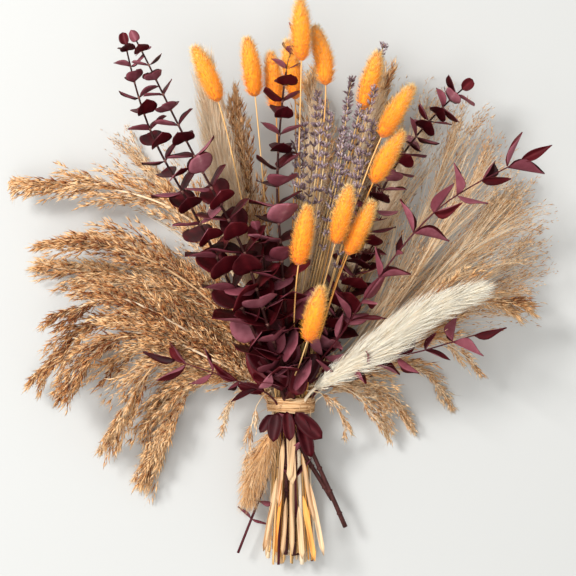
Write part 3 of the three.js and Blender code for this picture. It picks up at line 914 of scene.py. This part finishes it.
def node_ring(shape, route, at, radius, own=0.7):
    """A swollen joint on a woody stem. own is how pale it is."""
    distances = at + np.array([-1.5, -0.6, 0, 0.6, 1.5]) * MM
    radii = radius * np.array([1.0, 1.22, 1.32, 1.22, 1.0])
    first = len(shape.tones)
    tube(shape, route, distances, radii, 8, 0.5, 0)
    for k in range(first, len(shape.tones)):
        shape.tones[k] = np.array(shape.tones[k])
        shape.tones[k][:, 1:] = (0.3, own)


LEAVES_FROM_TIE = 24 * MM
TWIG_PITCH = 25 * MM


def end_leaf(shape, route, length, width, outline, cup, curl, rng, dusty=0.32):
    """The single leaf at the tip of a stem."""
    tip, along, across, _ = (row[0] for row in route.at(np.array([route.length - 1 * MM])))
    leaf(shape, tip, along, across, length, width, outline, cup, curl, rng, dusty)


def eucalyptus_stem(shape, route, rng, pitch, big, small):
    """A woody stem with round leaves in crossed pairs, smaller and further open towards its tip."""
    tie_at = route.distance_at_tie()
    distances = np.linspace(0, route.length, 60)
    radii = np.interp(distances, [0, tie_at, route.length], [2.2 * MM, 1.7 * MM, 0.7 * MM])
    tube(shape, route, distances, radii, 8, 0.3, 0, 0.05)
    at, turn = tie_at + LEAVES_FROM_TIE, rng.uniform(0, 0.5)
    while at < route.length - 2 * MM:
        share = (at - tie_at) / (route.length - tie_at)
        size = big + (small - big) * max(share - 0.35, 0) / 0.65
        lift = 1.25 - 0.8 * min(share * 2, 1) + rng.uniform(-0.15, 0.2)
        leaf_pair(shape, route, at, turn, lift, size, size * rng.uniform(0.86, 1.02), round_outline, rng)
        node_ring(shape, route, at, np.interp(at, distances, radii))
        at += pitch * (1 - 0.3 * share)
        turn += math.pi / 2
    for at in np.arange(14 * MM, tie_at - 20 * MM, 23 * MM):
        node_ring(shape, route, at, 2.1 * MM, 0.1)
    end_leaf(shape, route, small * 0.8, small * 0.6, round_outline, 0.5, 0, rng)


def ruscus_twig(shape, route, rng, start, length=33 * MM, width=8.5 * MM):
    """A thin twig with pointed leaves in crossed pairs from the start to its tip."""
    distances = np.linspace(0, route.length, 48)
    radii = np.interp(distances, [0, route.length], [1.3 * MM, 0.55 * MM])
    tube(shape, route, distances, radii, 7, 0.4, 0)
    at, turn = start, 0.2
    while at < route.length - 2 * MM:
        leaf_pair(shape, route, at, turn, rng.uniform(0.5, 1.2), length * rng.uniform(0.75, 1.15),
                  width * rng.uniform(0.7, 1.2), pointed_outline, rng, cup=0.35, curl=0.06)
        at += TWIG_PITCH
        turn += math.pi / 2
    end_leaf(shape, route, length * 0.9, width, pointed_outline, 0.3, 0.1, rng, dusty=0)


# ---------------- the pieces

# How long the plume or head of each kind is, and half of its width.
HEADS = {
    "reed": (232 * MM, 25 * MM),
    "pampas": (210 * MM, 22 * MM),
    "bunny": (52 * MM, 12 * MM),
}
SHORT_HEADS = {"reed_plume_hanging_left": 150 * MM, "pampas_plume_front": 185 * MM}
# How much paler or darker than the others each reed plume is.
REED_SHADES = {
    "top_middle": 0.3, "top_inner_right": 0.35, "top_left": 0.16, "right_front": 0.15,
    "left_low": 0.2, "hanging_left": 0.28, "left_middle": -0.24, "left_upper": -0.04,
    "left_front": -0.16, "left_outer": 0.02, "lower_left": 0.22, "left_top": 0.18,
}
# The grass plumes that hang down beside the tie, with the lengths of their heads.
HANGING_GRASSES = {"grass_plume_hanging_right": 130 * MM, "grass_plume_hanging_near": 90 * MM,
                   "grass_plume_hanging_inner": 80 * MM, "grass_plume_drooping_right": 140 * MM}
LAVENDER_HEAD = 108 * MM
# Where the leaves of each twig start, from the tie. One has them from below the tie.
TWIG_LEAVES_FROM = {
    "ruscus_twig_right": 60 * MM,
    "ruscus_twig_lower_right": 40 * MM,
    "ruscus_twig_lower_left": 34 * MM,
    "ruscus_twig_front": -66 * MM,
}
LIFTED_BUNNY = "bunny_tail_01"  # it lies on the upper pampas plume
LIFT_GAP = 22 * MM
CROSSING_REACH = 22 * MM  # how close, seen from above, two routes count as crossing
CLEAR_OF_TIE = 12 * MM
SIDE_SPIKE_RAISED = 8 * MM
FOOT_FUZZ = {"reed": 90, "grass": 50}
CLOSE_LEAVES = {"pitch": 12 * MM, "big": 29 * MM, "small": 17 * MM}
OPEN_LEAVES = {"pitch": 19 * MM, "big": 33 * MM, "small": 14 * MM}


def make_reed(node, route, rng):
    shape = Shape()
    length, half_width = HEADS["reed"]
    tone = rng.uniform(0.2, 1)
    stem_tube(shape, route, 1.9 * MM, 0.7 * MM, route.length - 4 * MM, tone, 0)
    stem_nodes(shape, route, 70 * MM, 1.8 * MM, 150 * MM, tone, 0, rng)
    stem_fuzz(shape, route, 1.8 * MM, FOOT_FUZZ["reed"], 3, rng)
    pale = REED_SHADES[node.removeprefix("reed_plume_")]
    hair = 0.45 + max(pale, 0)
    reed_plume(shape, route, SHORT_HEADS.get(node, length), half_width, rng, pale=pale, hair=hair)
    return shape, "reed", [STRAW, STRAW, REED, REED_HAIR]


def make_grass(node, route, rng):
    shape = Shape()
    stem_tube(shape, route, 1.2 * MM, 0.3 * MM, route.length - 10 * MM, rng.uniform(0.3, 1), 0, 6)
    stem_fuzz(shape, route, 1.1 * MM, FOOT_FUZZ["grass"], 1, rng)
    if node in HANGING_GRASSES:
        reed_plume(shape, route, HANGING_GRASSES[node], 13 * MM, rng, bunches=20, husks=10, pale=0.15,
                   hair=0.15, husk=(5, 8.5))
        return shape, "pale_grass", [STRAW, GRASS, GRASS_SEED, GRASS]
    grass_plume(shape, route, 21, rng)
    return shape, "pale_grass", [STRAW, GRASS, GRASS_SEED]


def make_pampas(node, route, rng):
    shape = Shape()
    length, half_width = HEADS["pampas"]
    stem_tube(shape, route, 2.1 * MM, 0.8 * MM, route.length - 6 * MM, 0.95, 0)
    pampas_plume(shape, route, SHORT_HEADS.get(node, length), half_width, rng)
    hair = PAMPAS if node == "pampas_plume_front" else WARM_PAMPAS
    return shape, "pampas", [STRAW, hair]


def laid_over(route, under, gap):
    """The route lifted, beyond the tie, to lie a gap above another route where it crosses it."""
    points = route.points.copy()
    for k in np.flatnonzero(points[:, 1] > TIE[1] + CLEAR_OF_TIE):
        near = np.linalg.norm(under.points[:, :2] - points[k, :2], axis=1) < CROSSING_REACH
        if near.any():
            points[k, 2] = max(points[k, 2], under.points[near, 2].max() + gap)
    smooth(points[:, 2])
    return Route(points)


def make_bunny(node, route, rng):
    shape = Shape()
    length, half_width = HEADS["bunny"]
    if node == LIFTED_BUNNY:
        route = laid_over(route, ROUTES["pampas_plume_upper_left"], LIFT_GAP)
    stem_tube(shape, route, 0.85 * MM, 0.6 * MM, route.length - length * 0.8, rng.uniform(0, 1), 0, 6)
    bunny_tail(shape, route, length, half_width, rng)
    return shape, "bunny_tail", [BUNNY_STEM, BUNNY]


def add_lavender(shape, route, rng, foot):
    distances = np.linspace(foot, route.length - 2 * MM, 40)
    radii = np.interp(distances, [foot, route.length], [0.9 * MM, 0.5 * MM])
    tube(shape, route, distances, radii, 6, rng.uniform(0, 1), 0)
    lavender_spike(shape, route, LAVENDER_HEAD, rng)


def make_lavender(node, route, rng):
    shape = Shape()
    add_lavender(shape, route, rng, 0)
    number = int(node[-2:])
    neighbour = f"lavender_stem_{number + 1:02d}"
    if neighbour in ROUTES and number % 2:
        side_spike = between(route, ROUTES[neighbour], rng.uniform(0.4, 0.6), SIDE_SPIKE_RAISED)
        add_lavender(shape, side_spike, rng, side_spike.length * 0.4)
    return shape, "lavender", [LAVENDER_STEM, LAVENDER]


def make_eucalyptus(node, route, rng):
    shape = Shape()
    spacing = CLOSE_LEAVES if node == "eucalyptus_stem_right" else OPEN_LEAVES
    eucalyptus_stem(shape, route, rng, **spacing)
    return shape, "eucalyptus", [WOODY, LEAF_FRONT, LEAF_BACK]


def make_twig(node, route, rng):
    shape = Shape()
    start = route.distance_at_tie() + TWIG_LEAVES_FROM[node]
    if node == "ruscus_twig_front":
        ruscus_twig(shape, route, rng, start, length=20 * MM, width=7 * MM)
    else:
        ruscus_twig(shape, route, rng, start)
    return shape, "pointed_leaf_twig", [DARK_TWIG, LEAF_FRONT, LEAF_BACK]


def ring_route(half_width, half_depth, y, wobble, phase, steps=72):
    angle = np.linspace(0, TAU, steps + 1) + phase
    x = TIE[0] + half_width * np.cos(angle)
    z = TIE[2] + half_depth * np.sin(angle)
    return Route(np.stack([x, y + wobble * np.sin(2 * angle + phase * 3), z], 1))


TIE_TURNS, LOOSE_FIBRES = 28, 18


def make_tie(rng):
    shape = Shape()
    half_width, _, half_depth = (TIE_HIGH - TIE_LOW) / 2
    length = TIE_HIGH[1] - TIE_LOW[1]
    for k in range(TIE_TURNS):
        inset = rng.uniform(0.2, 1.5) * MM
        y = TIE[1] + length * rng.uniform(-0.46, 0.46)
        wobble = rng.uniform(0, 1.2) * MM
        route = ring_route(half_width - inset, half_depth - inset, y, wobble, rng.uniform(0, TAU))
        distances = np.linspace(0, route.length, 54)
        flutter = 1 + 0.25 * np.sin(np.linspace(0, 30, 54) + k)
        tube(shape, route, distances, rng.uniform(0.5, 0.9) * MM * flutter, 5, rng.uniform(0, 1), 0)
    for _ in range(LOOSE_FIBRES):
        angle = rng.uniform(0.1, 0.9) * math.pi
        y = TIE[1] + length * rng.uniform(-0.4, 0.4)
        base = (TIE[0] + half_width * math.cos(angle), y, TIE[2] + half_depth * math.sin(angle))
        way = unit(np.array([[math.cos(angle + 0.9), rng.normal(0, 0.7), math.sin(angle) * 0.4]]))
        bend = rng.normal(0, 0.3, (1, 3)) - np.array([[0, 0, 0.3]])
        points = curved(np.array([base]), way, bend, np.array([rng.uniform(8, 20) * MM]), 7)
        strands(shape, points, 0.3 * MM, rng.uniform(0.3, 1, 1), 0, 0, rng)
    make_piece(shape, "raffia_tie_look", [RAFFIA], ["raffia_tie"])


# Loose leaves by the tie: base from the middle of the tie and height above the floor, the way they
# point (degrees from +X), length, width. All lengths are in millimetres.
LOOSE_LEAVES = [
    (-20, 18, 56, 112, 40, 22), (-9, 14, 60, 95, 36, 20), (4, 10, 56, 80, 26, 18),
    (-24, 14, 52, 168, 25, 10), (10, 22, 58, 62, 30, 17), (-14, 34, 62, 128, 32, 18),
    (0, 36, 63, 96, 32, 18), (-12, -6, 47, 262, 27, 14), (-4, -5, 48, 276, 27, 11),
    (4, -6, 47, 316, 34, 16), (8, -9, 45, 285, 40, 13), (-17, -8, 44, 236, 20, 9),
]
# Pale plumes and reeds behind the others, a tuft and wisps: the points that each one passes, in
# millimetres from the middle of the tie, with the height above the floor.
BACK_PLUMES = [
    [(4, 30, 20), (12, 130, 40), (24, 210, 52), (24, 288, 56)],
    [(8, 30, 20), (34, 130, 40), (58, 210, 50), (78, 282, 54)],
    [(10, 30, 20), (52, 120, 36), (88, 190, 46), (122, 258, 50)],
    [(-6, 30, 18), (-28, 120, 34), (-40, 190, 44), (-50, 250, 46)],
]
BACK_REEDS = [
    [(-12, 30, 14), (-66, 100, 26), (-124, 146, 30), (-186, 160, 26)],
    [(-12, 26, 14), (-66, 84, 22), (-128, 112, 26), (-190, 110, 22)],
    [(-12, 22, 14), (-60, 60, 20), (-120, 66, 22), (-172, 30, 18)],
    [(-12, 20, 14), (-54, 44, 18), (-98, 30, 18), (-130, -16, 14)],
]
TUFT = [(-14, -18, 36), (-24, -42, 34), (-34, -66, 28), (-40, -92, 22)]
HANGING_WISPS = [
    [(-18, 14, 46), (-30, 6, 42), (-38, -24, 36), (-37, -72, 30)],
    [(14, 14, 46), (30, 12, 44), (44, -4, 38), (50, -26, 32)],
    [(16, 18, 46), (44, 20, 44), (66, 6, 38), (80, -20, 30)],
    [(-20, 16, 44), (-42, 16, 40), (-58, 2, 34), (-62, -22, 28)],
]
# Pale sheaths and orange strips on the feet, in rows like those of the loose leaves.
SHEATHS = [
    (-7, -30, 42, 266, 62, 4), (1, -52, 43, 270, 84, 4), (-13, -66, 41, 262, 72, 4),
    (10, -44, 42, 280, 62, 3.5), (-1, -14, 43.5, 272, 58, 7), (17, -70, 40, 281, 68, 4),
    (-4, -84, 42, 266, 54, 3.5), (7, -92, 42, 274, 48, 4.5), (-17, -88, 39, 260, 46, 3.5),
    (3, -22, 44, 264, 46, 5),
]
ORANGE_STRIPS = [(11, -82, 44, 280, 60, 4.5), (-8, -68, 43, 264, 70, 2)]


def flat_pieces(shape, rows, outline, rng, cup=0.25, tilt=0.1):
    """Leaves or strips that lie flat. tilt is how much their slopes vary."""
    for x, y, height, turn, length, width in rows:
        base = np.array([TIE[0] + x * MM, TIE[1] + y * MM, height * MM])
        angle = math.radians(turn)
        rise = rng.normal(0, tilt)
        outward = unit(np.array([math.cos(angle), math.sin(angle), rise]))
        across = unit(np.array([-math.sin(angle), math.cos(angle), rng.normal(0, 2 * tilt)]))
        leaf(shape, base, outward, across, length * MM, width * MM, outline, cup, 0.02, rng, dusty=0.15)


def strip_outline(u):
    """A strip's half width at a share of its length, as a share of the widest."""
    return np.clip(np.minimum(u * 5, (1 - u) * 12), 0.05, 1)


TWIG_FOOT_LEAVES = (34 * MM, 52 * MM)


def make_loose_leaves(rng):
    """The leaves by the tie, and two pairs on the foot of the twig that lies furthest left."""
    shape = Shape()
    flat_pieces(shape, LOOSE_LEAVES, round_outline, rng)
    twigs = [route for node, route in ROUTES.items() if node.startswith("ruscus")]
    foot_twig = min(twigs, key=lambda route: route.points[0, 0])
    for at in TWIG_FOOT_LEAVES:
        leaf_pair(shape, foot_twig, at, 0.2, 0.3, 17 * MM, 9 * MM, pointed_outline, rng)
    make_piece(shape, "loose_leaves", [DARK_TWIG, LEAF_FRONT, LEAF_BACK])


def make_strips(rng):
    shape = Shape()
    flat_pieces(shape, SHEATHS, strip_outline, rng, cup=0.05, tilt=0.02)
    make_piece(shape, "pale_sheaths", [STRAW, SHEATH, SHEATH])
    shape = Shape()
    flat_pieces(shape, ORANGE_STRIPS, strip_outline, rng, cup=0.04, tilt=0.02)
    make_piece(shape, "orange_strips", [BUNNY_STEM, ORANGE_STRAW, ORANGE_STRAW])


def make_back_plumes(rng):
    shape = Shape()
    for corners in BACK_PLUMES:
        plume = path(*corners)
        pampas_plume(shape, plume, plume.length * 0.85, 21 * MM, rng, hairs=900, slot=0)
    make_piece(shape, "back_plumes", [WARM_PAMPAS])


def make_back_reeds(rng):
    shape = Shape()
    for corners in BACK_REEDS:
        plume = path(*corners)
        stem_tube(shape, plume, 1.2 * MM, 0.6 * MM, plume.length, 0.6, 0, 5)
        reed_plume(shape, plume, plume.length * 0.9, 26 * MM, rng, bunches=20, husks=12, pale=0.1)
    make_piece(shape, "back_reeds", [STRAW, STRAW, REED, REED_HAIR])


def make_tuft(rng):
    shape = Shape()
    tuft = path(*TUFT)
    pampas_plume(shape, tuft, tuft.length * 0.98, 14 * MM, rng, hairs=1700, slot=0, droop=0.3, widest=84)
    make_piece(shape, "golden_tuft", [GOLDEN])


def make_wisps(rng):
    shape = Shape()
    for corners in HANGING_WISPS:
        wisp = path(*corners)
        stem_tube(shape, wisp, 0.6 * MM, 0.3 * MM, wisp.length, 0.7, 0, 5)
        reed_plume(shape, wisp, wisp.length * 0.8, 8 * MM, rng, bunches=6, husks=8, pale=0.2, hair=0.1,
                   husk=(5, 9))
    make_piece(shape, "hanging_wisps", [STRAW, GRASS, GRASS_SEED, GRASS])


EXTRAS = (make_loose_leaves, make_strips, make_back_plumes, make_back_reeds, make_tuft, make_wisps)
MAKERS = {
    "reed": make_reed,
    "grass": make_grass,
    "pampas": make_pampas,
    "bunny": make_bunny,
    "lavender": make_lavender,
    "eucalyptus": make_eucalyptus,
    "ruscus": make_twig,
}
FIRST_SEED, TIE_SEED, EXTRAS_SEED = 100, 7, 8
# How far from the middle of a stem its slice is searched: less where leaves stand beside the stem.
LEAFY_REACH, HEAD_REACH = 5 * MM, 26 * MM


def route_of(node):
    leafy = node.startswith(("eucalyptus", "ruscus"))
    return Route(follow(node, LEAFY_REACH if leafy else HEAD_REACH))


ROUTES = {node: route_of(node) for node in sorted(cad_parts) if node != "raffia_tie"}

make_stage()
for number, (node, route) in enumerate(ROUTES.items()):
    make = MAKERS[node.split("_")[0]]
    shape, slot_name, materials = make(node, route, np.random.default_rng(FIRST_SEED + number))
    make_piece(shape, node + "_look", materials, [node])
make_tie(np.random.default_rng(TIE_SEED))
extras_rng = np.random.default_rng(EXTRAS_SEED)
for make_extra in EXTRAS:
    make_extra(extras_rng)
